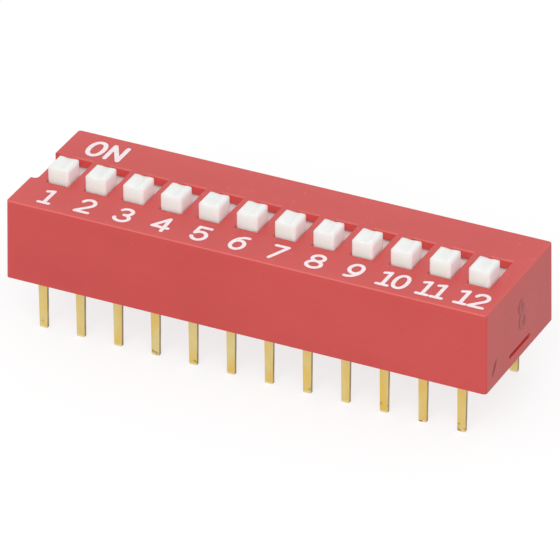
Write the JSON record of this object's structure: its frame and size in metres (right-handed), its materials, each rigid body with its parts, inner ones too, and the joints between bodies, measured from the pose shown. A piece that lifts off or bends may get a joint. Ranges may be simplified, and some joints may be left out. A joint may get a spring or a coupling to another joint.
{
  "type": "dual in-line slide switch",
  "caption": "Raised-lever DIP slide switch: white levers slide in a row of slots in a red cover and bridge flat plated pins that stand in parallel rows.",
  "frame": {"origin": "on the seating plane, which is the cover's bottom rim, midway between the two pin rows and between the first and last switch", "axes": "+X along the row of switches from the first to the last; +Y from the numbered (OFF) side to the ON side; +Z out of the cover's top"},
  "size_m": [0.032, 0.0098, 0.01],
  "materials": {
    "red_moulding": "satin moulded thermoplastic, red",
    "red_base": "satin moulded thermoplastic, red",
    "white_moulding": "satin moulded nylon, slightly warm white",
    "spring_leaf": "gold-plated copper alloy leaf",
    "gold_plated_strip": "gold-plated brass strip, stamped and bent",
    "white_print": "white pad-printed ink, a thin film"
  },
  "bodies": {
    "housing": {"cover": "red_moulding", "base": "red_base", "terminal_front_01": "gold_plated_strip", "terminal_front_02": "gold_plated_strip", "terminal_front_03": "gold_plated_strip", "terminal_front_04": "gold_plated_strip", "terminal_front_05": "gold_plated_strip", "terminal_front_06": "gold_plated_strip", "terminal_front_07": "gold_plated_strip", "terminal_front_08": "gold_plated_strip", "terminal_front_09": "gold_plated_strip", "terminal_front_10": "gold_plated_strip", "terminal_front_11": "gold_plated_strip", "terminal_front_12": "gold_plated_strip", "terminal_back_01": "gold_plated_strip", "terminal_back_02": "gold_plated_strip", "terminal_back_03": "gold_plated_strip", "terminal_back_04": "gold_plated_strip", "terminal_back_05": "gold_plated_strip", "terminal_back_06": "gold_plated_strip", "terminal_back_07": "gold_plated_strip", "terminal_back_08": "gold_plated_strip", "terminal_back_09": "gold_plated_strip", "terminal_back_10": "gold_plated_strip", "terminal_back_11": "gold_plated_strip", "terminal_back_12": "gold_plated_strip"},
    "slider_01": {"actuator_01": "white_moulding", "contact_spring_01": "spring_leaf"},
    "slider_02": {"actuator_02": "white_moulding", "contact_spring_02": "spring_leaf"},
    "slider_03": {"actuator_03": "white_moulding", "contact_spring_03": "spring_leaf"},
    "slider_04": {"actuator_04": "white_moulding", "contact_spring_04": "spring_leaf"},
    "slider_05": {"actuator_05": "white_moulding", "contact_spring_05": "spring_leaf"},
    "slider_06": {"actuator_06": "white_moulding", "contact_spring_06": "spring_leaf"},
    "slider_07": {"actuator_07": "white_moulding", "contact_spring_07": "spring_leaf"},
    "slider_08": {"actuator_08": "white_moulding", "contact_spring_08": "spring_leaf"},
    "slider_09": {"actuator_09": "white_moulding", "contact_spring_09": "spring_leaf"},
    "slider_10": {"actuator_10": "white_moulding", "contact_spring_10": "spring_leaf"},
    "slider_11": {"actuator_11": "white_moulding", "contact_spring_11": "spring_leaf"},
    "slider_12": {"actuator_12": "white_moulding", "contact_spring_12": "spring_leaf"}
  },
  "joints": [
    {"name": "switch_01", "type": "slide", "parent": "housing", "child": "slider_01", "axis": [0, 1, 0], "range_m": [0, 0.00164]},
    {"name": "switch_02", "type": "slide", "parent": "housing", "child": "slider_02", "axis": [0, 1, 0], "range_m": [0, 0.00164]},
    {"name": "switch_03", "type": "slide", "parent": "housing", "child": "slider_03", "axis": [0, 1, 0], "range_m": [0, 0.00164]},
    {"name": "switch_04", "type": "slide", "parent": "housing", "child": "slider_04", "axis": [0, 1, 0], "range_m": [0, 0.00164]},
    {"name": "switch_05", "type": "slide", "parent": "housing", "child": "slider_05", "axis": [0, 1, 0], "range_m": [0, 0.00164]},
    {"name": "switch_06", "type": "slide", "parent": "housing", "child": "slider_06", "axis": [0, 1, 0], "range_m": [0, 0.00164]},
    {"name": "switch_07", "type": "slide", "parent": "housing", "child": "slider_07", "axis": [0, 1, 0], "range_m": [0, 0.00164]},
    {"name": "switch_08", "type": "slide", "parent": "housing", "child": "slider_08", "axis": [0, 1, 0], "range_m": [0, 0.00164]},
    {"name": "switch_09", "type": "slide", "parent": "housing", "child": "slider_09", "axis": [0, 1, 0], "range_m": [0, 0.00164]},
    {"name": "switch_10", "type": "slide", "parent": "housing", "child": "slider_10", "axis": [0, 1, 0], "range_m": [0, 0.00164]},
    {"name": "switch_11", "type": "slide", "parent": "housing", "child": "slider_11", "axis": [0, 1, 0], "range_m": [0, 0.00164]},
    {"name": "switch_12", "type": "slide", "parent": "housing", "child": "slider_12", "axis": [0, 1, 0], "range_m": [0, 0.00164]}
  ]
}
